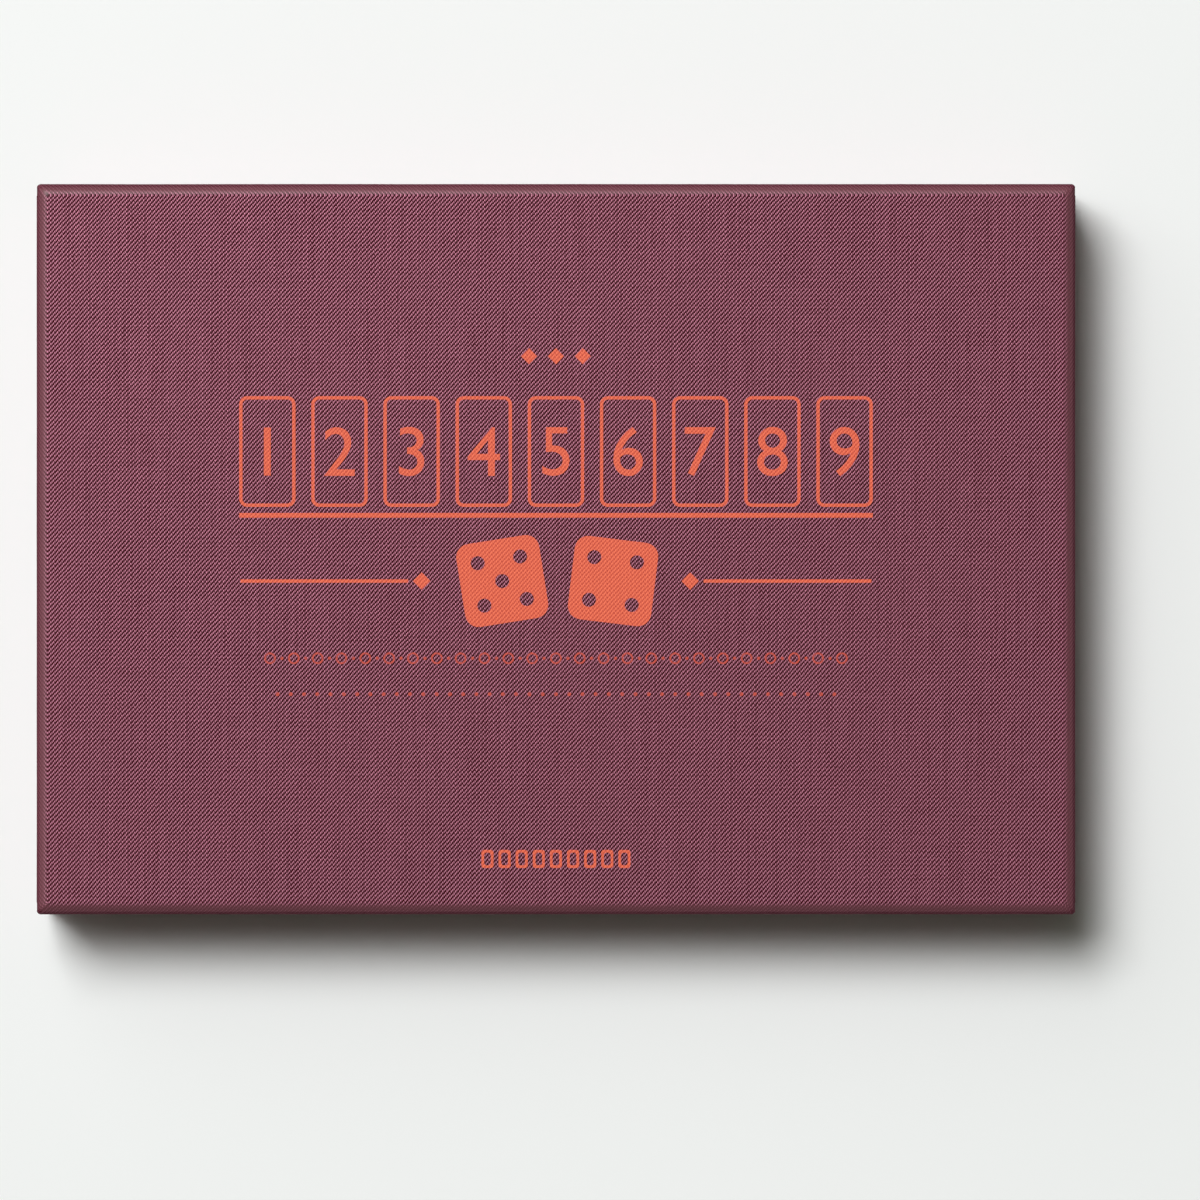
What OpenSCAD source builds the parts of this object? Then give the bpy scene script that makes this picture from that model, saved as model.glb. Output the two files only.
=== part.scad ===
// Shut the box game: a cloth covered card box whose lid lifts off, with a wooden tray bonded into
// its base. Nine number tiles turn on one axle between the lugs of a hinge comb.
// Millimetres, +Z up, +X along the long side, origin at the middle of the underside.

/* [Box] */
// Length of the closed box, along X
box_l = 310; // [280:1:380]
// Depth of the closed box, along Y
box_d = 218; // [190:1:280]
// Height of the closed box
box_h = 46; // [42:0.5:60]
// Radius of the rolled edge round the top of the lid
lid_roll_r = 3.5; // [2:0.1:4]
// Radius of the edge round the underside of the base
base_roll_r = 1.5; // [1:0.1:2.5]
// Radius of the cloth where it turns over a rim
rim_r = 0.8; // [0.75:0.05:1]
// Radius of the upright corners, seen from above
corner_r = 1; // [0.8:0.1:2]
// Height of the base left showing under the lid
reveal = 5; // [3:0.5:12]
// Gap on each side between the lid and the base
telescope_gap = 0.5; // [0.3:0.05:1]

/* [Card, cloth and paper] */
// Thickness of the greyboard
board_t = 2.5; // [1.5:0.1:3.5]
// Thickness of the book cloth
cloth_t = 0.5; // [0.3:0.05:0.7]
// Thickness of the lining paper
lining_t = 0.3; // [0.2:0.05:0.5]
// Thickness of the sheet pasted on the underside
sheet_t = 0.4; // [0.2:0.05:0.8]
// Strip left bare round the sheet on the underside
sheet_margin = 4; // [2:0.5:8]
// Width of cloth turned in over a rim or under the base
turn_in = 15; // [10:1:20]
// Strip of turned-in cloth left showing beside a lining
lining_margin = 4; // [2:0.5:8]
// Width of a corner stay on each face of its corner
stay_w = 18; // [10:1:25]
// Thickness of a corner stay
stay_t = 0.2; // [0.1:0.05:0.25]

/* [Tray] */
// Thickness of the wooden rails
rail_t = 9; // [6:0.5:12]
// Depth of the rails' top edge below the rim of the base
rail_drop = 6; // [3:0.5:10]
// Rounding of the rails' top edges
rail_round_r = 1.5; // [0.5:0.1:2.5]
// Gap on each side between the tray and the lined base
tray_gap = 0.3; // [0.2:0.05:0.8]
// Thickness of the plywood floor
floor_t = 4; // [3:0.5:5]
// Height of the floor's underside above the rails' underside
floor_lift = 1; // [0.5:0.5:2]
// Depth of the grooves in the rails that hold the floor
groove_depth = 4; // [2:0.5:5]
// Thickness of the felt
felt_t = 1; // [0.6:0.1:2]
// Gap between the felt and the wood beside it
felt_gap = 0.2; // [0.1:0.05:0.5]

/* [Tiles and hinge] */
// Thickness of a tile, which is also the diameter of its turning end
tile_t = 7; // [6:0.5:9]
// Gap between a tile that lies down and the felt under it
tile_gap = 0.2; // [0.1:0.05:0.5]
// Gap between a turning tile and the closed lid over it
swing_gap = 1.3; // [0.8:0.1:3]
// Gap between a turning tile and the back rail
bay_gap = 1.5; // [0.8:0.1:4]
// Gap between a tile and the lug beside it
side_gap = 0.35; // [0.2:0.05:0.6]
// Rounding of a tile's long edges at its free end
tile_edge_r = 1.2; // [0.5:0.1:2]
// Radius of a tile's two free corners, seen from above
tile_corner_r = 3; // [1:0.5:6]
// Diameter of the axle
axle_d = 3; // [2:0.25:4]
// Running clearance of the axle in the tiles, on the radius
axle_play = 0.07; // [0.03:0.01:0.1]
// Clearance of the axle in the lugs and rails, on the radius
axle_fit = 0.02; // [0.01:0.01:0.05]
// Depth of the axle's blind hole in the left rail
axle_hole = 6; // [3:0.5:8]
// Thickness of a lug of the hinge comb
lug_t = 4; // [3:0.25:6]
// Radius of a lug's round top
lug_r = 4.5; // [4:0.25:6]
// Width of the comb's strip
comb_w = 12; // [10:0.5:18]
// Depth of the comb's seat in the floor
comb_seat = 2.5; // [1:0.25:3]
// Gap between the comb's ends and the side rails
comb_gap = 0.2; // [0.1:0.05:0.5]
// Gap between a turning tile and the comb's strip under it
strip_gap = 0.3; // [0.2:0.05:0.6]

/* [Dice] */
// Width of a die across its faces
die_w = 16; // [12:0.5:18]
// Depth that the rounding takes off each corner of a die
die_corner = 2.05; // [1:0.05:2.3]
// Radius of a pip's rim
pip_r = 1.45; // [1:0.05:1.8]
// Depth of a pip
pip_depth = 0.6; // [0.3:0.05:1]
// Distance from the middle row of pips to an outer row
pip_pitch = 4.2; // [3.4:0.1:4.4]

/* [Hidden] */
tile_count = 9;
die_count = 2;
finger_count = 5;
arc_steps = 6;
past = 1; // what a cut runs past the face that it opens

// Lid
lid_board_z0 = reveal + cloth_t;
lid_board_z1 = box_h - cloth_t;
lid_board_l = box_l - 2*cloth_t;
lid_board_d = box_d - 2*cloth_t;
lid_ceiling_z = lid_board_z1 - board_t;
lid_in_l = lid_board_l - 2*board_t;
lid_in_d = lid_board_d - 2*board_t;
lid_face_z = lid_ceiling_z - lining_t;
lid_clear_l = lid_in_l - 2*(cloth_t + lining_t);
lid_clear_d = lid_in_d - 2*(cloth_t + lining_t);

// Base: the lined ceiling of the lid rests on its rim
base_l = lid_clear_l - 2*telescope_gap;
base_d = lid_clear_d - 2*telescope_gap;
base_rim_z = lid_face_z;
base_board_z0 = sheet_t + cloth_t;
base_board_z1 = base_rim_z - cloth_t;
base_board_l = base_l - 2*cloth_t;
base_board_d = base_d - 2*cloth_t;
base_in_l = base_board_l - 2*board_t;
base_in_d = base_board_d - 2*board_t;
base_floor_z = base_board_z0 + board_t;
base_face_z = base_floor_z + lining_t;
base_clear_l = base_in_l - 2*(cloth_t + lining_t);
base_clear_d = base_in_d - 2*(cloth_t + lining_t);
board_corner_r = corner_r - cloth_t;
board_rim_r = rim_r - cloth_t;
stay_end = 1; // how far a stay stops short of the board's edges

// Tray
tray_l = base_clear_l - 2*tray_gap;
tray_d = base_clear_d - 2*tray_gap;
tray_in_l = tray_l - 2*rail_t;
tray_in_d = tray_d - 2*rail_t;
rail_h = base_rim_z - rail_drop - base_face_z;
finger_h = rail_h/finger_count;
floor_z0 = base_face_z + floor_lift;
floor_z1 = floor_z0 + floor_t;
felt_z = floor_z1 + felt_t;

// Tiles: their length is what the closed lid lets swing over
pivot_z = felt_z + tile_gap + tile_t/2;
tile_swing = lid_face_z - pivot_z - swing_gap;
tile_reach = sqrt(tile_swing*tile_swing - tile_t*tile_t/4);
pivot_y = tray_in_d/2 - bay_gap - tile_swing;
comb_l = tray_in_l - 2*comb_gap;
comb_z0 = floor_z1 - comb_seat;
comb_z1 = pivot_z - tile_t/2 - strip_gap;
tile_pitch = (comb_l - lug_t)/tile_count;
tile_w = tile_pitch - lug_t - 2*side_gap;

// Dice: each one's place on the felt, its turn about Z, and the turn that brings a face up
die_places = [[44, -30], [71, -52]];
die_headings = [24, -17];
die_rolls = [[90, 0, 0], [0, 90, 0]];
face_turns = [[0, 0, 0], [90, 0, 0], [0, 90, 0], [0, -90, 0], [-90, 0, 0], [180, 0, 0]];

cloth_colour = [0.48, 0.28, 0.34];
board_colour = [0.62, 0.60, 0.56];
paper_colour = [0.86, 0.45, 0.27];
rail_colour = [0.62, 0.42, 0.25];
tile_colour = [0.86, 0.70, 0.48];
felt_colour = [0.16, 0.36, 0.25];
steel_colour = [0.72, 0.73, 0.75];
ivory_colour = [0.93, 0.90, 0.82];

// A quarter turn of an outline round the point x, y, from the angle start
function corner_arc(x, y, r, start) = r == 0 ? [[x, y]] :
    [for (i = [0:arc_steps]) let(a = start + 90*i/arc_steps) [x + r*cos(a), y + r*sin(a)]];

// A rectangle w by h that stands on y = 0, its lower and its upper corners rounded
function rounded_rect(w, h, low, high) = concat(
    corner_arc(w/2 - low, low, low, -90),
    corner_arc(w/2 - high, h - high, high, 0),
    corner_arc(high - w/2, h - high, high, 90),
    corner_arc(low - w/2, low, low, 180));

// A plain block centred on the origin in plan
module slab(l, d, z0, z1) {
    translate([-l/2, -d/2, z0])
        cube([l, d, z1 - z0]);
}

// A block with rounded upright corners
module cornered_block(l, d, z0, z1, corner) {
    translate([0, -d/2, z0])
        linear_extrude(z1 - z0)
            polygon(rounded_rect(l, d, corner, corner));
}

// The same with its lower and its upper edges rolled all round
module rolled_block(l, d, z0, z1, corner, low, high) {
    intersection() {
        cornered_block(l, d, z0, z1, corner);
        translate([0, d/2 + past, z0])
            rotate([90, 0, 0])
                linear_extrude(d + 2*past)
                    polygon(rounded_rect(l, z1 - z0, low, high));
        translate([-l/2 - past, 0, z0])
            rotate([90, 0, 90])
                linear_extrude(l + 2*past)
                    polygon(rounded_rect(d, z1 - z0, low, high));
    }
}

// Paper angles round the four upright corners of a board box l by d. A cut for them runs out
// past the board's faces.
module corner_stays(l, d, z0, z1, out = 0) {
    reach = stay_w + 2*past;
    intersection() {
        difference() {
            cornered_block(l + 2*out, d + 2*out, z0, z1, board_corner_r + out);
            cornered_block(l - 2*stay_t, d - 2*stay_t, z0 - past, z1 + past, board_corner_r - stay_t);
        }
        for (sx = [-1, 1], sy = [-1, 1])
            translate([sx*(l/2 - stay_w + reach/2), sy*(d/2 - stay_w + reach/2), (z0 + z1)/2])
                cube([reach, reach, z1 - z0 + 2*past], center = true);
    }
}

// Lid

module lid_board_blank() {
    difference() {
        rolled_block(lid_board_l, lid_board_d, lid_board_z0, lid_board_z1,
            board_corner_r, board_rim_r, lid_roll_r - cloth_t);
        slab(lid_in_l, lid_in_d, lid_board_z0 - past, lid_ceiling_z);
    }
}

module lid_stays(out = 0) {
    corner_stays(lid_board_l, lid_board_d, lid_board_z0 + stay_end, lid_board_z1 - lid_roll_r, out);
}

module lid_board() {
    color(board_colour)
        difference() {
            lid_board_blank();
            lid_stays(past);
        }
}

module lid_corner_stays() {
    color(paper_colour)
        lid_stays();
}

module lid_cloth_body() {
    difference() {
        rolled_block(box_l, box_d, reveal, box_h, corner_r, rim_r, lid_roll_r);
        lid_board_blank();
        slab(lid_in_l, lid_in_d, reveal + turn_in, lid_ceiling_z);
        slab(lid_in_l - 2*cloth_t, lid_in_d - 2*cloth_t, reveal - past, lid_ceiling_z);
    }
}

module lid_cloth() {
    color(cloth_colour)
        lid_cloth_body();
}

module lid_lining() {
    step_z = reveal + turn_in + lining_t;
    color(paper_colour)
        difference() {
            slab(lid_in_l, lid_in_d, reveal + lining_margin, lid_ceiling_z);
            lid_cloth_body();
            slab(lid_clear_l, lid_clear_d, reveal, lid_face_z);
            slab(lid_in_l - 2*lining_t, lid_in_d - 2*lining_t, step_z, lid_face_z);
        }
}

// Base

module base_board_blank() {
    difference() {
        rolled_block(base_board_l, base_board_d, base_board_z0, base_board_z1,
            board_corner_r, base_roll_r - cloth_t, board_rim_r);
        slab(base_in_l, base_in_d, base_floor_z, base_board_z1 + past);
    }
}

module base_stays(out = 0) {
    corner_stays(base_board_l, base_board_d, base_board_z0 + base_roll_r, base_board_z1 - stay_end, out);
}

module base_board() {
    color(board_colour)
        difference() {
            base_board_blank();
            base_stays(past);
        }
}

module base_corner_stays() {
    color(paper_colour)
        base_stays();
}

module base_cloth_body() {
    difference() {
        rolled_block(base_l, base_d, sheet_t, base_rim_z, corner_r, base_roll_r, rim_r);
        base_board_blank();
        slab(base_in_l, base_in_d, base_floor_z, base_rim_z - turn_in);
        slab(base_in_l - 2*cloth_t, base_in_d - 2*cloth_t, base_floor_z, base_rim_z + past);
        slab(base_l - 2*turn_in, base_d - 2*turn_in, sheet_t - past, base_board_z0 + past);
    }
}

module base_cloth() {
    color(cloth_colour)
        base_cloth_body();
}

module base_infill() {
    color(board_colour)
        slab(base_l - 2*turn_in, base_d - 2*turn_in, sheet_t, base_board_z0);
}

module base_bottom_sheet() {
    color(paper_colour)
        slab(base_l - 2*sheet_margin, base_d - 2*sheet_margin, 0, sheet_t);
}

module base_lining() {
    step_z = base_rim_z - turn_in - lining_t;
    color(paper_colour)
        difference() {
            slab(base_in_l, base_in_d, base_floor_z, base_rim_z - lining_margin);
            base_cloth_body();
            slab(base_clear_l, base_clear_d, base_face_z, base_rim_z);
            slab(base_in_l - 2*lining_t, base_in_d - 2*lining_t, base_face_z, step_z);
        }
}

// Tray

module floor_panel() {
    slab(tray_in_l + 2*groove_depth, tray_in_d + 2*groove_depth, floor_z0, floor_z1);
}

module tray_floor() {
    color(tile_colour)
        difference() {
            floor_panel();
            translate([0, pivot_y, 0])
                slab(comb_l, comb_w, comb_z0, floor_z1 + past);
        }
}

// A rail along X from the origin, with every second finger of its two ends cut away
module rail(length, first_cut) {
    difference() {
        rotate([90, 0, 90])
            linear_extrude(length)
                polygon(rounded_rect(rail_t, rail_h, 0, rail_round_r));
        for (k = [first_cut:2:finger_count - 1], x = [-past, length - rail_t]) {
            z0 = k == 0 ? -past : k*finger_h;
            z1 = k == finger_count - 1 ? rail_h + past : (k + 1)*finger_h;
            translate([x, -rail_t, z0])
                cube([rail_t + past, 2*rail_t, z1 - z0]);
        }
    }
}

// The long rails keep their top and bottom fingers, and the side rails fit between those
module long_rail(side) {
    color(rail_colour)
        difference() {
            translate([-tray_l/2, side*(tray_d - rail_t)/2, base_face_z])
                rail(tray_l, 1);
            floor_panel();
        }
}

module side_rail(side) {
    hole = side < 0 ? axle_hole : rail_t + past;
    color(rail_colour)
        difference() {
            translate([side*(tray_l - rail_t)/2, -tray_d/2, base_face_z])
                rotate([0, 0, 90])
                    rail(tray_d, 0);
            floor_panel();
            translate([side*(tray_in_l/2 + hole/2 - past/2), pivot_y, pivot_z])
                rotate([0, 90, 0])
                    cylinder(r = axle_d/2 + axle_fit, h = hole + past, center = true, $fn = 48);
        }
}

module front_rail() {
    long_rail(-1);
}

module back_rail() {
    long_rail(1);
}

module left_rail() {
    side_rail(-1);
}

module right_rail() {
    side_rail(1);
}

module hinge_comb() {
    lug_outline = concat(
        [[-lug_r, comb_z1 - pivot_z - past], [lug_r, comb_z1 - pivot_z - past]],
        corner_arc(0, 0, lug_r, 0),
        corner_arc(0, 0, lug_r, 90));
    color(rail_colour)
        difference() {
            union() {
                translate([0, pivot_y, 0])
                    slab(comb_l, comb_w, comb_z0, comb_z1);
                for (i = [0:tile_count])
                    translate([i*tile_pitch - comb_l/2, pivot_y, pivot_z])
                        rotate([90, 0, 90])
                            linear_extrude(lug_t)
                                polygon(lug_outline);
            }
            translate([0, pivot_y, pivot_z])
                rotate([0, 90, 0])
                    cylinder(r = axle_d/2 + axle_fit, h = comb_l + 2*past, center = true, $fn = 48);
        }
}

// The rod reaches the end of the blind hole on the left and stops inside the right rail
module axle_rod() {
    color(steel_colour)
        translate([-tray_in_l/2 - axle_hole, pivot_y, pivot_z])
            rotate([0, 90, 0])
                cylinder(d = axle_d, h = tray_in_l + 2*axle_hole, $fn = 48);
}

module felt(y0, y1) {
    color(felt_colour)
        translate([0, (y0 + y1)/2, 0])
            slab(tray_in_l - 2*felt_gap, y1 - y0 - 2*felt_gap, floor_z1, felt_z);
}

module play_felt() {
    felt(-tray_in_d/2, pivot_y - comb_w/2);
}

module bay_felt() {
    felt(pivot_y + comb_w/2, tray_in_d/2);
}

// A tile lies back from the axle, its turning end round about the bore
module tile(i) {
    side_outline = concat(
        corner_arc(0, 0, tile_t/2, 90),
        corner_arc(0, 0, tile_t/2, 180),
        corner_arc(tile_reach - tile_edge_r, tile_edge_r - tile_t/2, tile_edge_r, -90),
        corner_arc(tile_reach - tile_edge_r, tile_t/2 - tile_edge_r, tile_edge_r, 0));
    color(tile_colour)
        translate([(i - (tile_count + 1)/2)*tile_pitch, pivot_y, pivot_z])
            difference() {
                intersection() {
                    translate([-tile_w/2, 0, 0])
                        rotate([90, 0, 90])
                            linear_extrude(tile_w)
                                polygon(side_outline);
                    translate([0, -tile_t, -tile_t])
                        linear_extrude(2*tile_t)
                            polygon(rounded_rect(tile_w, tile_reach + tile_t, 0, tile_corner_r));
                }
                rotate([0, 90, 0])
                    cylinder(r = axle_d/2 + axle_play, h = tile_w + 2*past, center = true, $fn = 48);
            }
}

// Places of the pips of face n, in steps from the face's middle
function pip_places(n) = concat(
    n % 2 == 1 ? [[0, 0]] : [],
    n > 1 ? [[-1, -1], [1, 1]] : [],
    n > 3 ? [[-1, 1], [1, -1]] : [],
    n == 6 ? [[-1, 0], [1, 0]] : []);

// Each pip is the cap of a ball: its rim and its depth give the ball's radius
module die(i) {
    pip_ball = (pip_r*pip_r + pip_depth*pip_depth)/(2*pip_depth);
    corner_ball = sqrt(3)*die_w/2 - die_corner;
    color(ivory_colour)
        translate([die_places[i - 1][0], die_places[i - 1][1], felt_z + die_w/2])
            rotate([0, 0, die_headings[i - 1]])
                rotate(die_rolls[i - 1])
                    difference() {
                        intersection() {
                            cube(die_w, center = true);
                            sphere(r = corner_ball, $fn = 64);
                        }
                        for (n = [1:6], p = pip_places(n))
                            rotate(face_turns[n - 1])
                                translate([p[0]*pip_pitch, p[1]*pip_pitch, die_w/2 + pip_ball - pip_depth])
                                    sphere(r = pip_ball, $fn = 32);
                    }
}

lid_board();
lid_corner_stays();
lid_cloth();
lid_lining();
base_board();
base_corner_stays();
base_cloth();
base_infill();
base_bottom_sheet();
base_lining();
tray_floor();
front_rail();
back_rail();
left_rail();
right_rail();
hinge_comb();
axle_rod();
play_felt();
bay_felt();
for (i = [1:tile_count])
    tile(i);
for (i = [1:die_count])
    die(i);
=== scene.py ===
import math
import random

import bmesh
import bpy
from mathutils import Matrix, Vector
from mathutils import noise as field


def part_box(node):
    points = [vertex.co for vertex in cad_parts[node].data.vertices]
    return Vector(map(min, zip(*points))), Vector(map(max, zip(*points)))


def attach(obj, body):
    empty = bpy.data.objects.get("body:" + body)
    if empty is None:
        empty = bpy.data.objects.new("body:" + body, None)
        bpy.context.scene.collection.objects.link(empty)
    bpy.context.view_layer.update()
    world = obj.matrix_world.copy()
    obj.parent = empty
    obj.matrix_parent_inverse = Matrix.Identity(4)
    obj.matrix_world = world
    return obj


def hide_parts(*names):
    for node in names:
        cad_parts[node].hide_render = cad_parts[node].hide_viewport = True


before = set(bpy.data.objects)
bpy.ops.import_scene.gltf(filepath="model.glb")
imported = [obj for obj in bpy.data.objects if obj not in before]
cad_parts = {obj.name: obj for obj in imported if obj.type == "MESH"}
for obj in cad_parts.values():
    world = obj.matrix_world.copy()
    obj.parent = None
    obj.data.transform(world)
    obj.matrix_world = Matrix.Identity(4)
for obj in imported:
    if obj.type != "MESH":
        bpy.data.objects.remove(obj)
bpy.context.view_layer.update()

MM = 0.001
random.seed(9)

# Places and sizes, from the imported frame
LID_LOW, LID_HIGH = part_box("lid_cloth")
LID_BOARD_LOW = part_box("lid_board")[0]
LINING_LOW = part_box("lid_lining")[0]
BASE_LOW, BASE_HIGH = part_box("base_cloth")
FLOOR_LOW, FLOOR_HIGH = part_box("tray_floor")
COMB_LOW, COMB_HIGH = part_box("hinge_comb")
ROD_LOW, ROD_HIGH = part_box("axle_rod")
TILE_LOW, TILE_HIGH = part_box("tile_1")
TILES = [f"tile_{i}" for i in range(1, 10)]

CLOTH_T = LID_BOARD_LOW.x - LID_LOW.x
BOARD_T = LINING_LOW.x - LID_BOARD_LOW.x
AXLE_R = (ROD_HIGH.z - ROD_LOW.z)/2
PIVOT_Y = (ROD_LOW.y + ROD_HIGH.y)/2
PIVOT_Z = (ROD_LOW.z + ROD_HIGH.z)/2
TILE_T = TILE_HIGH.z - TILE_LOW.z

# Sizes that the frame's boxes don't give, as in the part's source
TURN_IN = 15*MM
LID_ROLL = 3.5*MM
BASE_ROLL = 1.5*MM
RIM_ROLL = 0.8*MM
CORNER = 1.3*MM
FINGERS = 5
RAIL_ROUND = 1.5*MM
AXLE_FIT = 0.02*MM
AXLE_PLAY = 0.07*MM
LUG_T = 4*MM
LUG_R = 4.5*MM
COMB_TOP = PIVOT_Z - TILE_T/2 - 0.3*MM
TILE_EDGE = 1.2*MM
TILE_CORNER = 3*MM
DIE_W = 16*MM
DIE_CORNER = 2.05*MM
PIP_R = 1.45*MM
PIP_DEPTH = 0.6*MM
PIP_PITCH = 4.2*MM
DIE_HEADINGS = {"die_1": 24, "die_2": -17}
DIE_ROLLS = {"die_1": (90, 0, 0), "die_2": (0, 90, 0)}
FACE_TURNS = {1: (0, 0, 0), 2: (90, 0, 0), 3: (0, 90, 0), 4: (0, -90, 0), 5: (-90, 0, 0), 6: (180, 0, 0)}

# Where a wrap's long sides show beside the upright corners, and how much lower they lie there
SEAM = 2.4*MM
SEAM_STEP = 0.1*MM

# How far below the rolled edge the cloth was still pressed, and its colour painted dark as shade
PRESSED_AND_SHADED_DOWN = 8*MM

# Ink lies on what it is printed on, its underside just within it
INK_T = 0.03*MM
INK_SINK = 0.02*MM

# The photograph's frame: its width in pixels and the box's outline in it
FRAME_PX = 1200
LEFT_PX, RIGHT_PX = 36.5, 1075.5
TOP_PX, BOTTOM_PX = 183.5, 915.0
METRES_PER_PX = (LID_HIGH.x - LID_LOW.x)/(RIGHT_PX - LEFT_PX)
SENSOR = 36.0
LENS = 260.0


# Meshes

def applied(piece):
    """The piece's mesh with its modifiers applied."""
    graph = bpy.context.evaluated_depsgraph_get()
    graph.update()
    return bpy.data.meshes.new_from_object(piece.evaluated_get(graph), depsgraph=graph)


def scratch(data):
    """A plain object that holds a mesh or curve while it is worked on."""
    piece = bpy.data.objects.new("scratch", data)
    bpy.context.scene.collection.objects.link(piece)
    return piece


def drop(*pieces):
    for piece in pieces:
        bpy.data.objects.remove(piece)


def outward(mesh):
    """Welds a closed mesh and turns it the right way out."""
    work = bmesh.new()
    work.from_mesh(mesh)
    bmesh.ops.remove_doubles(work, verts=work.verts, dist=1e-7)
    if work.calc_volume(signed=True) < 0:
        bmesh.ops.reverse_faces(work, faces=work.faces)
    work.to_mesh(mesh)
    work.free()
    return mesh


def made_of(verts, faces):
    mesh = bpy.data.meshes.new("shape")
    mesh.from_pydata(verts, [], faces)
    return mesh


def prism(outline, low, high, axis="Z"):
    """A closed solid: an outline of the other two axes' coordinates, carried along an axis."""
    place = {"X": lambda p, t: (t, p[0], p[1]), "Y": lambda p, t: (p[0], t, p[1]),
             "Z": lambda p, t: (p[0], p[1], t)}[axis]
    count = len(outline)
    verts = [place(p, low) for p in outline] + [place(p, high) for p in outline]
    faces = [tuple(range(count)), tuple(range(2*count - 1, count - 1, -1))]
    faces += [(k, k + count, (k + 1) % count + count, (k + 1) % count) for k in range(count)]
    return outward(made_of(verts, faces))


def bar(low, high):
    """A rectangle's four corners."""
    return [(low[0], low[1]), (high[0], low[1]), (high[0], high[1]), (low[0], high[1])]


def block(low, high):
    return prism(bar(low, high), low[2], high[2])


def quarter(x, y, r, start, steps=6):
    """Points of a quarter turn round x, y."""
    turns = [math.radians(start + 90*k/steps) for k in range(steps + 1)]
    return [(x + r*math.cos(a), y + r*math.sin(a)) for a in turns]


def circle(x, y, r, steps=32):
    turns = [2*math.pi*k/steps for k in range(steps)]
    return [(x + r*math.cos(a), y + r*math.sin(a)) for a in turns]


def rounded(low, high, r):
    """A rectangle with round corners."""
    return (quarter(high[0] - r, low[1] + r, r, -90) + quarter(high[0] - r, high[1] - r, r, 0)
            + quarter(low[0] + r, high[1] - r, r, 90) + quarter(low[0] + r, low[1] + r, r, 180))


def combined(mesh, tool, operation="DIFFERENCE"):
    """The mesh cut by, or kept within, another. A cut's faces keep the tool's material."""
    piece, other = scratch(mesh), scratch(tool)
    step = piece.modifiers.new("combined", "BOOLEAN")
    step.operation = operation
    step.solver = "EXACT"
    step.material_mode = "TRANSFER"
    step.object = other
    result = applied(piece)
    drop(piece, other)
    return result


def bevelled(mesh, width, angle=50, segments=2):
    piece = scratch(mesh)
    step = piece.modifiers.new("bevelled", "BEVEL")
    step.width = width
    step.segments = segments
    step.limit_method = "ANGLE"
    step.angle_limit = math.radians(angle)
    result = applied(piece)
    drop(piece)
    return result


def thickened(mesh, thickness):
    """Gives an open skin a thickness behind its faces."""
    piece = scratch(mesh)
    wall = piece.modifiers.new("wall", "SOLIDIFY")
    wall.thickness = thickness
    wall.offset = -1
    wall.use_even_offset = True
    result = applied(piece)
    drop(piece)
    return outward(result)


def joined(meshes):
    """One mesh of several that keep their own materials."""
    work = bmesh.new()
    slots = []
    for mesh in meshes:
        start = len(work.faces)
        work.from_mesh(mesh)
        work.faces.ensure_lookup_table()
        for face in work.faces[start:]:
            made = mesh.materials[face.material_index] if mesh.materials else None
            if made not in slots:
                slots.append(made)
            face.material_index = slots.index(made)
    result = bpy.data.meshes.new("joined")
    work.to_mesh(result)
    work.free()
    for made in slots:
        result.materials.append(made)
    return result


def moved(mesh, x, y, z=0.0, turn=0.0):
    mesh.transform(Matrix.Translation((x, y, z)) @ Matrix.Rotation(math.radians(turn), 4, "Z"))
    return mesh


def turned(x, y, z):
    """Turns about X, then Y, then Z, in degrees."""
    return (Matrix.Rotation(math.radians(z), 4, "Z") @ Matrix.Rotation(math.radians(y), 4, "Y")
            @ Matrix.Rotation(math.radians(x), 4, "X"))


def painted(mesh, made):
    mesh.materials.clear()
    mesh.materials.append(made)
    for face in mesh.polygons:
        face.material_index = 0
    return mesh


def toned(mesh, tone):
    """Stores how this piece's wood differs from the next one's."""
    store = mesh.attributes.new("tone", "FLOAT", "POINT")
    store.data.foreach_set("value", [tone]*len(mesh.vertices))
    return mesh


def finished(name, mesh, body, nodes=(), angle=35):
    """Makes the mesh a piece that rides on a body and stands for the nodes named."""
    mesh.name = name
    for face in mesh.polygons:
        face.use_smooth = True
    mesh.set_sharp_from_angle(angle=math.radians(angle))
    piece = bpy.data.objects.new(name, mesh)
    bpy.context.scene.collection.objects.link(piece)
    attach(piece, body)
    if nodes:
        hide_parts(*nodes)
    return piece


# One tree of Geometry Nodes sets an item on each point of a mesh

def repeat_tree():
    tree = bpy.data.node_groups.new("repeat", "GeometryNodeTree")
    for name, kind in (("Points", "Geometry"), ("Item", "Object"), ("Material", "Material")):
        tree.interface.new_socket(name, in_out="INPUT", socket_type="NodeSocket" + kind)
    tree.interface.new_socket("Geometry", in_out="OUTPUT", socket_type="NodeSocketGeometry")
    given = tree.nodes.new("NodeGroupInput").outputs
    item = tree.nodes.new("GeometryNodeObjectInfo")
    on_points = tree.nodes.new("GeometryNodeInstanceOnPoints")
    real = tree.nodes.new("GeometryNodeRealizeInstances")
    paint = tree.nodes.new("GeometryNodeSetMaterial")
    end = tree.nodes.new("NodeGroupOutput").inputs
    tree.links.new(given["Item"], item.inputs["Object"])
    tree.links.new(given["Points"], on_points.inputs["Points"])
    tree.links.new(item.outputs["Geometry"], on_points.inputs["Instance"])
    tree.links.new(on_points.outputs["Instances"], real.inputs["Geometry"])
    tree.links.new(real.outputs["Geometry"], paint.inputs["Geometry"])
    tree.links.new(given["Material"], paint.inputs["Material"])
    tree.links.new(paint.outputs["Geometry"], end["Geometry"])
    return tree


REPEAT = repeat_tree()


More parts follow.
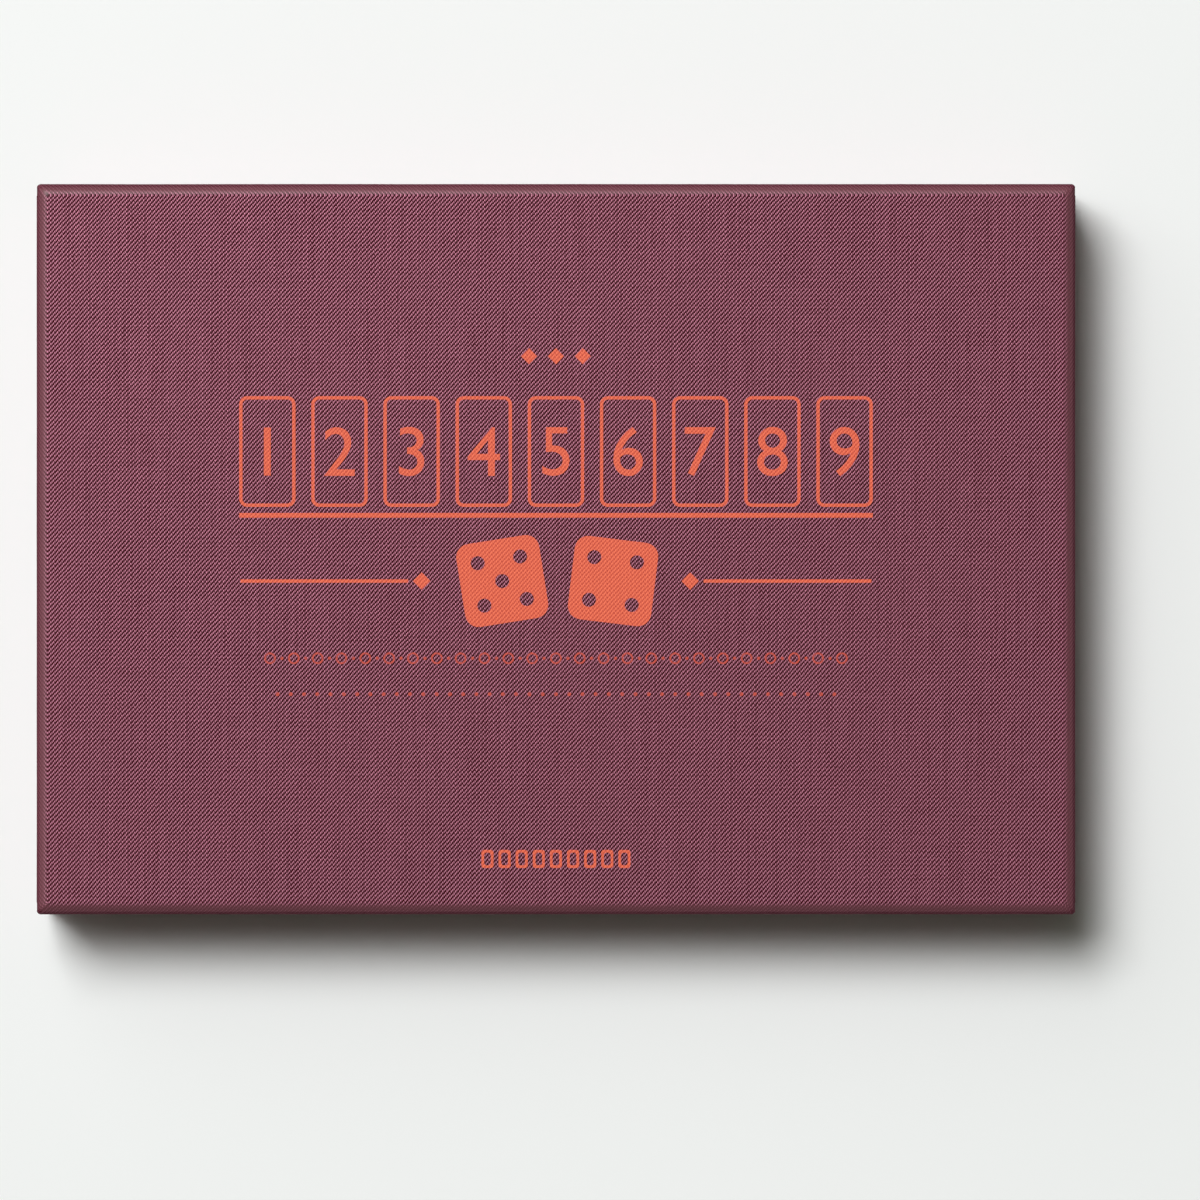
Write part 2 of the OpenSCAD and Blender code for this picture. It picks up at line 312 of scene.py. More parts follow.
def repeated(item, points, made):
    """The item's mesh at each of the points, as one mesh."""
    holder, source = scratch(made_of(points, [])), scratch(item)
    step = holder.modifiers.new("repeat", "NODES")
    step.node_group = REPEAT
    names = {s.name: s.identifier for s in REPEAT.interface.items_tree if s.in_out == "INPUT"}
    step[names["Item"]] = source
    step[names["Material"]] = made
    result = applied(holder)
    drop(holder, source)
    return result


# Shader helpers

def feed(tree, socket, value):
    if isinstance(value, bpy.types.NodeSocket):
        tree.links.new(value, socket)
    elif value is not None:
        socket.default_value = value


def add(tree, kind, *inputs, **settings):
    node = tree.nodes.new(kind)
    for key, value in settings.items():
        setattr(node, key, value)
    for place, value in enumerate(inputs):
        feed(tree, node.inputs[place], value)
    return node


def calc(tree, operation, *inputs):
    return add(tree, "ShaderNodeMath", *inputs, operation=operation).outputs[0]


def mixed(tree, share, first, second, blend="MIX"):
    """A colour between two colours."""
    node = add(tree, "ShaderNodeMix", data_type="RGBA", blend_type=blend)
    feed(tree, node.inputs["Factor"], share)
    feed(tree, node.inputs[6], first)
    feed(tree, node.inputs[7], second)
    return node.outputs[2]


def blended(tree, share, first, second):
    """A value between two values."""
    node = add(tree, "ShaderNodeMix", data_type="FLOAT")
    for place, value in enumerate((share, first, second)):
        feed(tree, node.inputs[(0, 2, 3)[place]], value)
    return node.outputs[0]


def noise(tree, vector, scale, detail=2.0, roughness=0.5):
    node = add(tree, "ShaderNodeTexNoise")
    feed(tree, node.inputs["Vector"], vector)
    feed(tree, node.inputs["Scale"], scale)
    feed(tree, node.inputs["Detail"], detail)
    feed(tree, node.inputs["Roughness"], roughness)
    return node.outputs[0]


def scaled(tree, vector, scale):
    return add(tree, "ShaderNodeVectorMath", vector, scale, operation="MULTIPLY").outputs[0]


def ranged(tree, value, from_low, from_high, to_low=0.0, to_high=1.0):
    return add(tree, "ShaderNodeMapRange", value, from_low, from_high, to_low, to_high).outputs[0]


def linear(*parts):
    """A colour picked on a screen, as the shader takes it."""
    return tuple((p/12.92 if p <= 0.04045 else ((p + 0.055)/1.055)**2.4) for p in parts) + (1.0,)


def group(name, inputs, outputs):
    """An empty shader group with its named inputs and outputs."""
    tree = bpy.data.node_groups.new(name, "ShaderNodeTree")
    for label, kind, value in inputs:
        socket = tree.interface.new_socket(label, in_out="INPUT", socket_type="NodeSocket" + kind)
        if value is not None:
            socket.default_value = value
    for label in outputs:
        tree.interface.new_socket(label, in_out="OUTPUT", socket_type="NodeSocketFloat")
    return tree, tree.nodes.new("NodeGroupInput").outputs, tree.nodes.new("NodeGroupOutput").inputs


def use(tree, made, **values):
    """Places a group in a material."""
    node = add(tree, "ShaderNodeGroup", node_tree=made)
    for key, value in values.items():
        feed(tree, node.inputs[key], value)
    return node.outputs


def material(name, **constants):
    """A material with one Principled shader, and its inputs."""
    made = bpy.data.materials.new(name)
    made.use_nodes = True
    tree = made.node_tree
    tree.nodes.clear()
    shader = tree.nodes.new("ShaderNodeBsdfPrincipled")
    end = tree.nodes.new("ShaderNodeOutputMaterial")
    tree.links.new(shader.outputs[0], end.inputs[0])
    for key, value in constants.items():
        shader.inputs[key.replace("_", " ").title().replace("Ior", "IOR")].default_value = value
    return made, tree, shader.inputs


def relief(tree, height, depth):
    """A bump whose height of 1 stands depth metres proud."""
    node = add(tree, "ShaderNodeBump")
    node.inputs["Strength"].default_value = 1.0
    node.inputs["Distance"].default_value = depth
    feed(tree, node.inputs["Height"], height)
    return node.outputs[0]


def place_of(tree):
    return tree.nodes.new("ShaderNodeTexCoord").outputs["Object"]


# Shared effects

def twill_group():
    """Two-over-one twill whose ribs rise to the right. Its vector is in metres over the cloth. The output
    that picks the colour follows the yarn heights, lighter on the crowns and darker in the dips: painted
    highlight and painted shade.
    """
    tree, given, out = group("twill", [("Vector", "Vector", None), ("Warp", "Float", 0.4187*MM),
                                       ("Weft", "Float", 0.4456*MM)], ["Height", "Light", "Cloudy"])
    place = add(tree, "ShaderNodeSeparateXYZ", given["Vector"]).outputs
    drift = calc(tree, "SUBTRACT", noise(tree, given["Vector"], 110.0, 3.0), 0.5)
    drift = calc(tree, "MULTIPLY", drift, 0.9)

    def yarns(axis, width, stretch, way):
        """Counts yarns over the cloth. Each one strays a little along its length."""
        stray = calc(tree, "SUBTRACT", noise(tree, scaled(tree, given["Vector"], stretch), 1.0, 1.0), 0.5)
        stray = calc(tree, "ADD", calc(tree, "MULTIPLY", stray, 0.4), calc(tree, "MULTIPLY", drift, way))
        return calc(tree, "ADD", calc(tree, "DIVIDE", place[axis], given[width]), stray)

    across = yarns(0, "Warp", (900.0, 60.0, 1.0), 1.0)
    along = yarns(1, "Weft", (60.0, 900.0, 1.0), -1.0)
    step = calc(tree, "SUBTRACT", calc(tree, "FLOOR", across), calc(tree, "FLOOR", along))
    step = calc(tree, "FLOORED_MODULO", step, 3.0)
    warp = calc(tree, "GREATER_THAN", step, 0.5)
    in_x = calc(tree, "SUBTRACT", calc(tree, "FRACT", across), 0.5)
    in_y = calc(tree, "SUBTRACT", calc(tree, "FRACT", along), 0.5)

    def crown(value):
        """Round across one yarn: 1 on its middle and 0 at its sides."""
        square = calc(tree, "MULTIPLY", value, value)
        return calc(tree, "SUBTRACT", 1.0, calc(tree, "MULTIPLY", square, 4.0))

    run = calc(tree, "ADD", in_y, calc(tree, "SUBTRACT", 2.5, step))
    arch = calc(tree, "MAXIMUM", calc(tree, "SINE", calc(tree, "MULTIPLY", run, math.pi/2)), 0.0)
    over = calc(tree, "MULTIPLY", calc(tree, "POWER", crown(in_x), 0.5),
                calc(tree, "ADD", calc(tree, "MULTIPLY", arch, 0.6), 0.4))
    dip = calc(tree, "MULTIPLY", calc(tree, "MULTIPLY", crown(in_y), crown(in_x)), 0.35)
    height = blended(tree, warp, dip, over)
    slub = noise(tree, scaled(tree, given["Vector"], (1500.0, 26.0, 1.0)), 1.0, 2.0)
    pick = noise(tree, scaled(tree, given["Vector"], (60.0, 1700.0, 1.0)), 1.0, 1.0)
    uneven = calc(tree, "ADD", ranged(tree, slub, 0.3, 0.7, 0.93, 1.07),
                  ranged(tree, pick, 0.3, 0.7, -0.04, 0.04))
    beads = calc(tree, "COSINE", calc(tree, "MULTIPLY", calc(tree, "ADD", across, along), 2*math.pi/3))
    patchy = ranged(tree, noise(tree, given["Vector"], 350.0), 0.35, 0.65, 0.0, 0.2)
    beads = calc(tree, "MULTIPLY", beads, patchy)
    # Colour share from the heights: painted highlight on the yarn crowns and painted shade in the dips,
    # with the yarns' own unevenness and beads
    light = calc(tree, "ADD", calc(tree, "MULTIPLY", height, uneven), beads)
    tree.links.new(height, out["Height"])
    tree.links.new(light, out["Light"])
    tree.links.new(noise(tree, given["Vector"], 14.0, 3.0), out["Cloudy"])
    return tree


def wood_group():
    """Straight grain along the vector's X, in metres: growth lines, pores and fine fibres."""
    tree, given, out = group("wood", [("Vector", "Vector", None), ("Ring", "Float", 2.6*MM)],
                             ["Late", "Pores", "Fibre", "Shade"])
    tone = add(tree, "ShaderNodeAttribute", attribute_name="tone").outputs["Fac"]
    shift = add(tree, "ShaderNodeVectorMath", (0.73, 0.31, 0.17), operation="SCALE")
    feed(tree, shift.inputs["Scale"], tone)
    vector = add(tree, "ShaderNodeVectorMath", given["Vector"], shift.outputs[0],
                 operation="ADD").outputs[0]
    place = add(tree, "ShaderNodeSeparateXYZ", vector).outputs
    sway = noise(tree, scaled(tree, vector, (5.0, 38.0, 38.0)), 1.0, 2.0)
    depth = calc(tree, "ADD", place[1], calc(tree, "MULTIPLY", place[2], 0.45))
    ring = calc(tree, "ADD", calc(tree, "DIVIDE", depth, given["Ring"]), calc(tree, "MULTIPLY", sway, 7.0))
    ring = calc(tree, "FRACT", ring)
    late = calc(tree, "MULTIPLY", calc(tree, "POWER", ring, 3.0), ranged(tree, ring, 0.93, 1.0, 1.0, 0.0))
    pores = noise(tree, scaled(tree, vector, (260.0, 5200.0, 5200.0)), 1.0, 1.0)
    tree.links.new(late, out["Late"])
    tree.links.new(ranged(tree, pores, 0.62, 0.7), out["Pores"])
    tree.links.new(noise(tree, scaled(tree, vector, (35.0, 1900.0, 1900.0)), 1.0, 3.0), out["Fibre"])
    tree.links.new(noise(tree, scaled(tree, vector, (3.0, 26.0, 26.0)), 1.0, 2.0), out["Shade"])
    return tree


def fibre_group():
    """Matted fibres of paper, board or felt. The vector is in metres, and Size is a fibre's length."""
    tree, given, out = group("fibres", [("Vector", "Vector", None), ("Size", "Float", 1*MM)],
                             ["Strands", "Grain", "Mottle"])
    scale = calc(tree, "DIVIDE", 1.0, given["Size"])
    bend = add(tree, "ShaderNodeTexNoise")
    feed(tree, bend.inputs["Vector"], given["Vector"])
    feed(tree, bend.inputs["Scale"], scale)
    push = add(tree, "ShaderNodeVectorMath", bend.outputs[1], operation="SCALE")
    feed(tree, push.inputs["Scale"], calc(tree, "MULTIPLY", given["Size"], 1.6))
    bent = add(tree, "ShaderNodeVectorMath", given["Vector"], push.outputs[0], operation="ADD").outputs[0]
    line = noise(tree, bent, calc(tree, "MULTIPLY", scale, 1.3), 2.0, 0.6)
    away = calc(tree, "ABSOLUTE", calc(tree, "SUBTRACT", line, 0.5))
    tree.links.new(ranged(tree, away, 0.0, 0.045, 1.0, 0.0), out["Strands"])
    tree.links.new(noise(tree, given["Vector"], calc(tree, "MULTIPLY", scale, 3.0), 3.0, 0.6), out["Grain"])
    tree.links.new(noise(tree, given["Vector"], calc(tree, "MULTIPLY", scale, 0.06), 3.0), out["Mottle"])
    return tree


TWILL = twill_group()
WOOD = wood_group()
FIBRES = fibre_group()


def cloth_material(name, light, dark, worn, rubbed_and_shaded):
    """Book cloth: light, silky warp over dark weft, on the cloth's own unfolded map. The weave's colour is
    lighter on the yarn crowns and darker in the dips: painted highlight and painted shade.
    Where it was pressed round an edge it is worn: silky on the roll's crown, and dull below, where its
    colour is also painted dark as shade over the turned-down part of the roll and the top of the wall."""
    made, tree, end = material(name, specular_ior_level=0.25, specular_tint=(0.6, 0.35, 0.45, 1.0),
                               coat_roughness=0.4, coat_ior=1.7)
    unfolded = add(tree, "ShaderNodeUVMap", uv_map="cloth").outputs[0]
    weave = use(tree, TWILL, Vector=unfolded)
    pressed_and_shaded = add(tree, "ShaderNodeAttribute", attribute_name="pressed_and_shaded").outputs["Fac"]
    shine = add(tree, "ShaderNodeAttribute", attribute_name="shine").outputs["Fac"]
    silky = ranged(tree, shine, 0.0, 0.4)
    # The light warp's share follows the yarn heights, so it carries painted highlight on the crowns and
    # painted shade in the dips
    warp = ranged(tree, weave["Light"], 0.5, 0.76)
    colour = mixed(tree, warp, dark, light)
    colour = mixed(tree, ranged(tree, weave["Cloudy"], 0.35, 0.7, 0.0, 0.1), colour, worn)
    # Below the crown the edge colour is painted dark, as shade over the turned-down roll; on the crown the
    # worn colour stays
    edge_colour = mixed(tree, silky, rubbed_and_shaded, worn)
    feed(tree, end["Base Color"], mixed(tree, calc(tree, "MULTIPLY", pressed_and_shaded, 0.7), colour, edge_colour))
    for key, face_range, edge_range in (("Metallic", (0.0, 0.34), (0.0, 0.5)),
                                        ("Roughness", (0.8, 0.42), (0.9, 0.6))):
        face_value = ranged(tree, warp, 0.0, 1.0, *face_range)
        edge_value = ranged(tree, silky, 0.0, 1.0, *edge_range)
        feed(tree, end[key], blended(tree, pressed_and_shaded, face_value, edge_value))
    feed(tree, end["Coat Weight"], calc(tree, "MULTIPLY", shine, 0.5))
    feed(tree, end["Normal"], relief(tree, weave["Height"], 0.045*MM))
    return made


def print_material(name, light, dark):
    """Ink printed on the same weave, which shows through it: the ink is lighter on the yarn crowns and
    darker in the dips, partly the weave through thin ink and partly painted highlight and painted shade.
    """
    made, tree, end = material(name, roughness=0.55, specular_ior_level=0.4)
    unfolded = add(tree, "ShaderNodeUVMap", uv_map="cloth").outputs[0]
    weave = use(tree, TWILL, Vector=unfolded)
    feed(tree, end["Base Color"], mixed(tree, ranged(tree, weave["Light"], 0.1, 0.7), dark, light))
    feed(tree, end["Normal"], relief(tree, weave["Height"], 0.03*MM))
    return made


def wood_material(name, axis, early, late, pore, ring=2.6*MM, pores=0.6, gloss=0.45, spread=0.25):
    """Oiled or varnished wood with its grain along X or Y."""
    made, tree, end = material(name, roughness=gloss, specular_ior_level=0.4)
    place = add(tree, "ShaderNodeSeparateXYZ", place_of(tree)).outputs
    order = (0, 1, 2) if axis == "X" else (1, 0, 2)
    vector = add(tree, "ShaderNodeCombineXYZ", *[place[k] for k in order]).outputs[0]
    grain = use(tree, WOOD, Vector=vector, Ring=ring)
    tone = add(tree, "ShaderNodeAttribute", attribute_name="tone").outputs["Fac"]
    colour = mixed(tree, ranged(tree, grain["Late"], 0.0, 1.0, 0.0, 0.75), early, late)
    colour = mixed(tree, ranged(tree, grain["Fibre"], 0.35, 0.7, 0.0, 0.35), colour, late)
    colour = mixed(tree, calc(tree, "MULTIPLY", grain["Pores"], pores), colour, pore)
    bright = calc(tree, "ADD", ranged(tree, grain["Shade"], 0.3, 0.7, -spread/2, spread/2),
                  ranged(tree, tone, 0.0, 1.0, 1 - spread/2, 1 + spread/2))
    grey = add(tree, "ShaderNodeCombineColor", bright, bright, bright).outputs[0]
    feed(tree, end["Base Color"], mixed(tree, 1.0, colour, grey, "MULTIPLY"))
    deep = calc(tree, "SUBTRACT", calc(tree, "MULTIPLY", grain["Fibre"], 0.4),
                calc(tree, "MULTIPLY", grain["Pores"], pores))
    feed(tree, end["Normal"], relief(tree, deep, 0.03*MM))
    return made


def fibre_material(name, low, high, strand, size, depth, share=0.4, roughness=0.9, sheen=0.0):
    """Felt, paper or board."""
    made, tree, end = material(name, roughness=roughness, specular_ior_level=0.2, sheen_weight=sheen)
    mat = use(tree, FIBRES, Vector=place_of(tree), Size=size)
    colour = mixed(tree, ranged(tree, mat["Grain"], 0.3, 0.7), low, high)
    colour = mixed(tree, calc(tree, "MULTIPLY", mat["Strands"], share), colour, strand)
    colour = mixed(tree, ranged(tree, mat["Mottle"], 0.35, 0.65, 0.0, 0.25), colour, low)
    feed(tree, end["Base Color"], colour)
    rise = calc(tree, "ADD", mat["Grain"], calc(tree, "MULTIPLY", mat["Strands"], 0.5))
    feed(tree, end["Normal"], relief(tree, rise, depth))
    return made


def steel_material():
    made, tree, end = material("drawn_steel", metallic=1.0)
    streak = noise(tree, scaled(tree, place_of(tree), (30.0, 5000.0, 5000.0)), 1.0, 2.0)
    feed(tree, end["Base Color"], mixed(tree, streak, (0.42, 0.42, 0.44, 1), (0.62, 0.62, 0.63, 1)))
    feed(tree, end["Roughness"], ranged(tree, streak, 0.3, 0.7, 0.22, 0.4))
    feed(tree, end["Normal"], relief(tree, streak, 0.004*MM))
    return made


def ivory_material():
    """Cast ivory-coloured plastic with faint clouds."""
    made, tree, end = material("ivory", coat_weight=0.3, coat_roughness=0.08, subsurface_weight=0.12,
                               subsurface_radius=(0.9, 0.6, 0.35), subsurface_scale=1.2*MM)
    cloud = noise(tree, place_of(tree), 260.0, 3.0)
    feed(tree, end["Base Color"], mixed(tree, cloud, linear(0.93, 0.90, 0.81), linear(0.97, 0.95, 0.89)))
    feed(tree, end["Roughness"], ranged(tree, noise(tree, place_of(tree), 900.0), 0.3, 0.7, 0.18, 0.3))
    return made


def enamel_material(name, colour, worn):
    """Paint in the dice's pips and on the tiles' numbers."""
    made, tree, end = material(name, specular_ior_level=0.45)
    patch = noise(tree, place_of(tree), 1500.0, 3.0)
    feed(tree, end["Base Color"], mixed(tree, ranged(tree, patch, 0.4, 0.75), colour, worn))
    feed(tree, end["Roughness"], ranged(tree, patch, 0.3, 0.7, 0.35, 0.6))
    return made


# The last colour is the dark edge colour, painted as shade over the turned-down roll and the top of the
# wall
CLOTH = cloth_material("plum_cloth", (0.525, 0.198, 0.285, 1), (0.04, 0.002, 0.004, 1),
                       (0.2, 0.061, 0.079, 1), (0.105, 0.018, 0.03, 1))
# Each ink's second colour sits in the weave's dips, darker as painted shade
ORANGE = print_material("orange_print", linear(1.0, 0.47, 0.33), linear(0.76, 0.22, 0.12))
RUST = print_material("rust_print", linear(0.86, 0.33, 0.26), linear(0.60, 0.17, 0.15))
WALNUT = {axis: wood_material("walnut_" + axis, axis, linear(0.47, 0.32, 0.22), linear(0.31, 0.19, 0.12),
                              linear(0.17, 0.10, 0.07), 3.2*MM, 0.7, 0.42, 0.3) for axis in "XY"}
BEECH = wood_material("beech", "Y", linear(0.86, 0.70, 0.52), linear(0.74, 0.56, 0.38),
                      linear(0.58, 0.39, 0.24), 2.2*MM, 0.55, 0.38, 0.16)
BIRCH = wood_material("birch_ply", "X", linear(0.87, 0.76, 0.58), linear(0.78, 0.64, 0.45),
                      linear(0.62, 0.47, 0.31), 4*MM, 0.25, 0.6, 0.1)
FELT = fibre_material("green_felt", linear(0.13, 0.29, 0.20), linear(0.22, 0.42, 0.30),
                      linear(0.30, 0.50, 0.38), 1.4*MM, 0.12*MM, 0.45, 1.0, 0.25)
LINING = fibre_material("terracotta_paper", linear(0.76, 0.37, 0.24), linear(0.82, 0.43, 0.29),
                        linear(0.86, 0.50, 0.36), 1.1*MM, 0.02*MM, 0.3, 0.85)
KRAFT = fibre_material("kraft_tape", linear(0.68, 0.54, 0.38), linear(0.76, 0.62, 0.46),
                       linear(0.60, 0.46, 0.31), 1.5*MM, 0.02*MM, 0.35, 0.8)
GREYBOARD = fibre_material("greyboard", linear(0.55, 0.54, 0.51), linear(0.66, 0.65, 0.61),
                           linear(0.45, 0.44, 0.42), 1.6*MM, 0.03*MM, 0.4, 0.95)
UNDERSIDE = fibre_material("dark_paper", linear(0.24, 0.14, 0.16), linear(0.30, 0.18, 0.20),
                           linear(0.37, 0.24, 0.26), 1.2*MM, 0.02*MM, 0.35, 0.8)
STEEL = steel_material()
IVORY = ivory_material()
PIP_INK = enamel_material("pip_enamel", linear(0.10, 0.08, 0.08), linear(0.20, 0.16, 0.15))
NUMBER_INK = enamel_material("number_ink", linear(0.20, 0.11, 0.09), linear(0.33, 0.20, 0.15))


# Cloth wraps

def marks_round(half_x, half_y):
    """Marks round a rounded rectangle: shares along x and y, the turn there and the side it is on."""
    marks = []
    sides = [("front", (-1, -1), (1, -1), half_x), ("right", (1, -1), (1, 1), half_y),
             ("back", (1, 1), (-1, 1), half_x), ("left", (-1, 1), (-1, -1), half_y)]
    steps, corner_steps = 50, 6
    for turn, (side, start, end, half) in enumerate(sides):
        near = SEAM/(2*half)
        shares = [0, near*0.92, near] + [k/steps for k in range(1, steps)] + [1 - near, 1 - near*0.92]
        for share in shares:
            x = start[0] + (end[0] - start[0])*share
            y = start[1] + (end[1] - start[1])*share
            marks.append((x, y, -90 + 90*turn, side))
        for k in range(corner_steps):
            owner = side if k < corner_steps/2 else sides[(turn + 1) % 4][0]
            marks.append((end[0], end[1], -90 + 90*turn + 90*k/corner_steps, owner))
    return marks


def arc(centre_inset, centre_z, r, start, end, steps):
    """Points (inset, z) of an arc, by the angle from straight outwards, upwards positive."""
    turns = [math.radians(start + (end - start)*k/steps) for k in range(steps + 1)]
    return [(centre_inset - r*math.cos(a), centre_z + r*math.sin(a)) for a in turns]


def wrap(profile, half_x, half_y, edge, seam_z, closed, mirrored=()):
    """Lofts a profile of (inset, z) round the box and maps the cloth unfolded.

    A closed wrap starts within the face that it covers. edge is how far in that flat face ends,
    seam_z the heights between which the seams show, and mirrored the sides whose ribs run the
    other way from the face's. A closed wrap also stores where the cloth was pressed, over its
    rolled edge and a little way down, which is also where its colour is painted dark as shade,
    and where it shines, on the crown of the roll.
    """
    marks = marks_round(half_x, half_y)
    count = len(marks)
    verts = []
    for inset, z in profile:
        corner = CORNER if inset < edge + 1*MM else 0.1*MM
        for share_x, share_y, angle, side in marks:
            a = math.radians(angle)
            x = share_x*(half_x - inset - corner) + corner*math.cos(a)
            y = share_y*(half_y - inset - corner) + corner*math.sin(a)
            wave = 0.05*MM*(1 + field.noise(Vector((x*30, y*30, z*30)))) if inset < edge and closed else 0.0
            tab = abs(share_y) > 1 - 0.96*SEAM/half_y and seam_z[0] < z < seam_z[1] and inset < BOARD_T/2
            step = SEAM_STEP if tab and side in ("left", "right") and angle % 90 == 0 else 0.0
            verts.append((x - math.copysign(wave*abs(math.cos(a)) + step, x),
                          y - math.copysign(wave*abs(math.sin(a)), y), z))
    faces, owners = [], []
    for r in range(len(profile) - 1):
        for k in range(count):
            n = (k + 1) % count
            faces.append((r*count + k, (r + 1)*count + k, (r + 1)*count + n, r*count + n))
            owners.append(marks[k][3])
    if closed:
        faces.append(tuple(range(count)))
        owners.append("face")
    mesh = made_of(verts, faces)
    if closed:
        wall_top = profile[0][1] - edge
        ramp = 0.35*edge
        # Where the cloth was pressed round the edge it is glossier, and its colour is painted dark there as
        # shade; the crown's shine keeps the lighter worn colour
        for name, shares in (
                ("pressed_and_shaded", [((edge - i)/ramp, 1 + (z - wall_top)/PRESSED_AND_SHADED_DOWN) for i, z in profile]),
                ("shine", [((edge - i)/ramp, i/ramp - 0.6) for i, z in profile])):
            values = [max(0.0, min(1.0, *pair)) for pair in shares]
            store = mesh.attributes.new(name, "FLOAT", "POINT")
            store.data.foreach_set("value", [value for value in values for _ in range(count)])
    run = [0.0]
    for (i0, z0), (i1, z1) in zip(profile, profile[1:]):
        flat = closed and i1 > edge - 1e-9 and abs(z1 - z0) < 1e-9
        run.append(run[-1] + (0.0 if flat else math.hypot(i1 - i0, z1 - z0)))
    uv = mesh.uv_layers.new(name="cloth")
    for face, owner in zip(mesh.polygons, owners):
        way = -1 if owner in mirrored else 1
        for loop in face.loop_indices:
            index = mesh.loops[loop].vertex_index
            x, y, _ = verts[index]
            out = run[index//count]
            if out > 0 or not closed:
                if owner in ("front", "back"):
                    y = math.copysign(half_y - edge + out*way, y)
                else:
                    x = math.copysign(half_x - edge + out*way, x)
            uv.data[loop].uv = (x, y)
    return mesh


def lid_wrap():
    """Face, rolled edges, walls, rim and the edge turned in."""
    half_x, half_y = LID_HIGH.x, LID_HIGH.y
    top, rim = LID_HIGH.z - INK_T, LID_LOW.z
    inner = CLOTH_T + BOARD_T + CLOTH_T
    profile = [(inset*MM, top) for inset in (100, 60, 30, 12, 6)] + [(LID_ROLL + 0.6*MM, top)]
    profile += arc(LID_ROLL, top - LID_ROLL, LID_ROLL, 90, 0, 10)
    profile += [(0, top - LID_ROLL - d*MM) for d in (1, 3, 7, 12, 18, 24, 30)]
    profile += arc(RIM_ROLL, rim + RIM_ROLL, RIM_ROLL, 0, -90, 4)
    profile += arc(inner - RIM_ROLL, rim + RIM_ROLL, RIM_ROLL, -90, -180, 4)
    profile += [(inner, rim + 4*MM), (inner, rim + 9*MM), (inner, rim + TURN_IN)]
    skin = wrap(profile, half_x, half_y, LID_ROLL, (rim + 1*MM, top - LID_ROLL/2), True, ("left", "back"))
    mesh = painted(thickened(skin, CLOTH_T), CLOTH)
    piece = finished("lid_wrap", mesh, "lid", ["lid_cloth"])


def base_wrap():
    """A band turned in over the rim and turned under the floor."""
    half_x, half_y = BASE_HIGH.x, BASE_HIGH.y
    foot, rim = BASE_LOW.z, BASE_HIGH.z
    inner = CLOTH_T + BOARD_T + CLOTH_T
    profile = [(inner, rim - TURN_IN), (inner, rim - 9*MM), (inner, rim - 4*MM)]
    profile += arc(inner - RIM_ROLL, rim - RIM_ROLL, RIM_ROLL, 180, 90, 4)
    profile += arc(RIM_ROLL, rim - RIM_ROLL, RIM_ROLL, 90, 0, 4)
    profile += [(0, rim - d*MM) for d in (2, 8, 16, 24, 32, 38)]
    profile += arc(BASE_ROLL, foot + BASE_ROLL, BASE_ROLL, 0, -90, 6)
    profile += [(4*MM, foot), (9*MM, foot), (TURN_IN, foot)]
    skin = wrap(profile, half_x, half_y, TURN_IN, (foot + BASE_ROLL, rim - 1*MM), False)
    mesh = painted(thickened(skin, CLOTH_T), CLOTH)
    piece = finished("base_wrap", mesh, "base", ["base_cloth"])


# Print

def flat_mesh(curve):
    """A thin closed shape from a filled curve."""
    curve.extrude = (INK_T + INK_SINK)/2
    piece = scratch(curve)
    result = applied(piece)
    drop(piece)
    return outward(result)


def outlined(loops):
    """A flat shape from its loops, where a loop in a loop is a hole."""
    curve = bpy.data.curves.new("loops", "CURVE")
    curve.dimensions = "2D"
    curve.fill_mode = "BOTH"
    for loop in loops:
        spline = curve.splines.new("POLY")
        spline.points.add(len(loop) - 1)
        for point, (x, y) in zip(spline.points, loop):
            point.co = (x, y, 0, 1)
        spline.use_cyclic_u = True
    return flat_mesh(curve)


def lettered(text, size):
    """A flat number with its middle at the origin."""
    curve = bpy.data.curves.new("letters", "FONT")
    curve.body = text
    curve.size = size
    curve.resolution_u = 5
    mesh = flat_mesh(curve)
    xs = [v.co.x for v in mesh.vertices]
    ys = [v.co.y for v in mesh.vertices]
    return moved(mesh, -(min(xs) + max(xs))/2, -(min(ys) + max(ys))/2)


def ring_loops(low, high, r, line):
    """A rounded frame of a line's width."""
    inside = rounded((low[0] + line, low[1] + line), (high[0] - line, high[1] - line), max(r - line, line))
    return [rounded(low, high, r), inside]


def diamond(x, y, half):
    return [(x - half, y), (x, y - half), (x + half, y), (x, y + half)]


PIP_PLACES = {1: [(0, 0)], 2: [(-1, -1), (1, 1)], 3: [(-1, -1), (0, 0), (1, 1)],
              4: [(-1, -1), (1, 1), (-1, 1), (1, -1)],
              5: [(-1, -1), (1, 1), (-1, 1), (1, -1), (0, 0)],
              6: [(-1, -1), (1, 1), (-1, 1), (1, -1), (-1, 0), (1, 0)]}


def printed_tiles():
    """A row of nine numbered tiles on their rod."""
    wide, tall, pitch, line, foot = 16.8*MM, 33*MM, 21.5*MM, 1.0*MM, 12.6*MM
    end = 4*pitch + wide/2
    loops = [bar((-end, foot - 3.2*MM), (end, foot - 1.8*MM))]
    numbers = []
    for k in range(9):
        x = (k - 4)*pitch
        loops += ring_loops((x - wide/2, foot), (x + wide/2, foot + tall), 2.4*MM, line)
        numbers.append(moved(lettered(str(k + 1), 21*MM), x, foot + tall/2))
    return [outlined(loops)] + numbers


